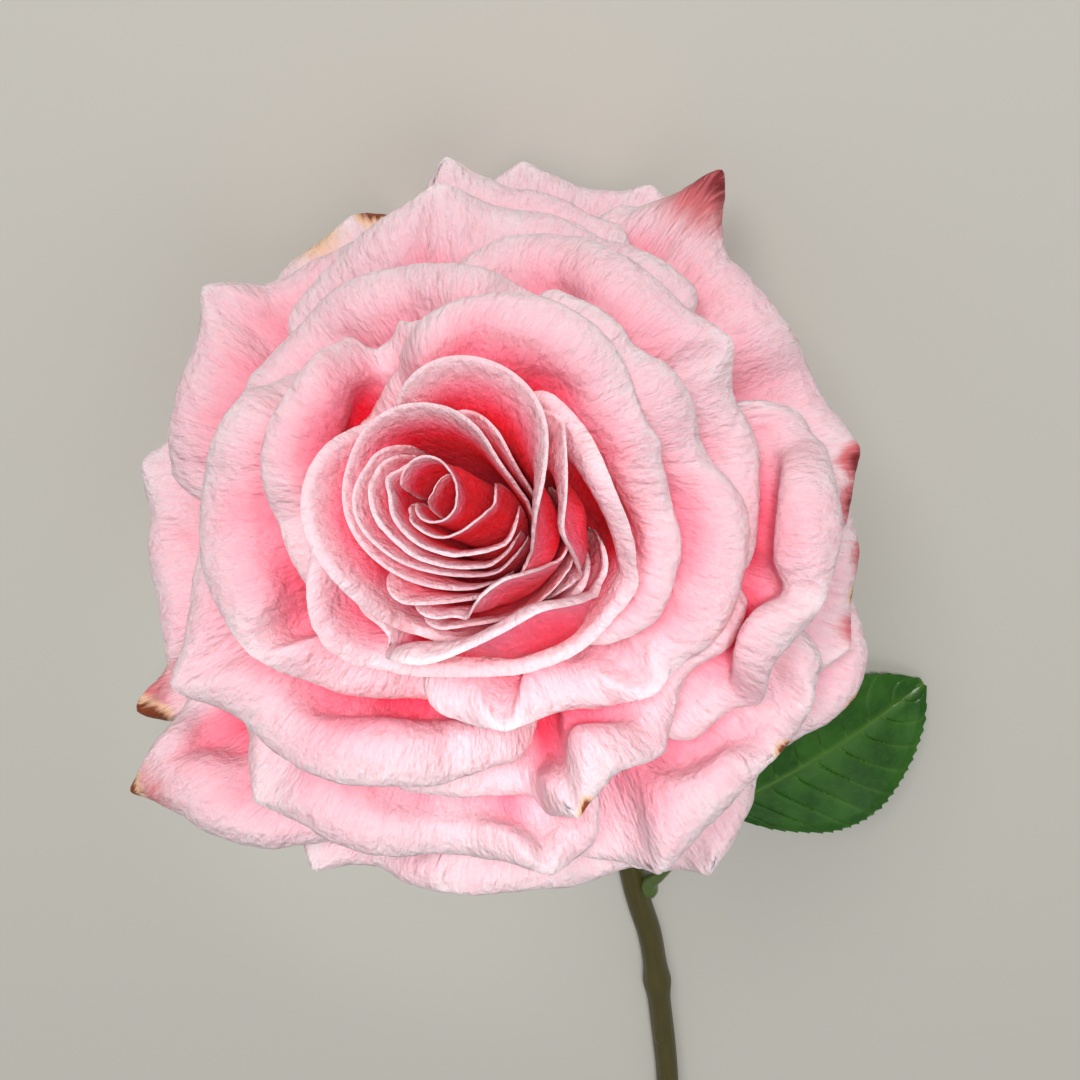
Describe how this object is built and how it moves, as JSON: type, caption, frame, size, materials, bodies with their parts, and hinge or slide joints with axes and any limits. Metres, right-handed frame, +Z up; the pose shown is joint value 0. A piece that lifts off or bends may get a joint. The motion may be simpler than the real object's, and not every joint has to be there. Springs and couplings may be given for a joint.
{
  "type": "rose",
  "caption": "Open garden rose bloom with layered rolled petals on a cut stem with a leaf, lying on its side.",
  "frame": {"origin": "on the table under the middle of the rose's bounding box", "axes": "+Z up from the table, +Y from the bloom along the stem to its cut end, +X away from the leaf's side"},
  "size_m": [0.1238, 0.2306, 0.0764],
  "materials": {
    "petal_pink": "soft velvety petal skin",
    "leaf_green": "waxy leaf skin with a soft shine",
    "sepal_green": "matte green",
    "stem_green": "dark green bark with a dull shine"
  },
  "bodies": {
    "root": {"petal_01": "petal_pink", "petal_02": "petal_pink", "petal_03": "petal_pink", "petal_04": "petal_pink", "petal_05": "petal_pink", "petal_06": "petal_pink", "petal_07": "petal_pink", "petal_08": "petal_pink", "petal_09": "petal_pink", "petal_10": "petal_pink", "petal_11": "petal_pink", "petal_12": "petal_pink", "petal_13": "petal_pink", "petal_14": "petal_pink", "petal_15": "petal_pink", "petal_16": "petal_pink", "petal_17": "petal_pink", "petal_18": "petal_pink", "petal_19": "petal_pink", "petal_20": "petal_pink", "petal_21": "petal_pink", "petal_22": "petal_pink", "petal_23": "petal_pink", "petal_24": "petal_pink", "petal_25": "petal_pink", "petal_26": "petal_pink", "petal_27": "petal_pink", "petal_28": "petal_pink", "petal_29": "petal_pink", "petal_30": "petal_pink", "petal_31": "petal_pink", "petal_32": "petal_pink", "petal_33": "petal_pink", "petal_34": "petal_pink", "petal_35": "petal_pink", "petal_36": "petal_pink", "petal_37": "petal_pink", "petal_38": "petal_pink", "petal_39": "petal_pink", "sepal_1": "sepal_green", "sepal_2": "sepal_green", "sepal_3": "sepal_green", "sepal_4": "sepal_green", "sepal_5": "sepal_green", "stem": "stem_green", "leaf": "leaf_green"}
  },
  "joints": []
}
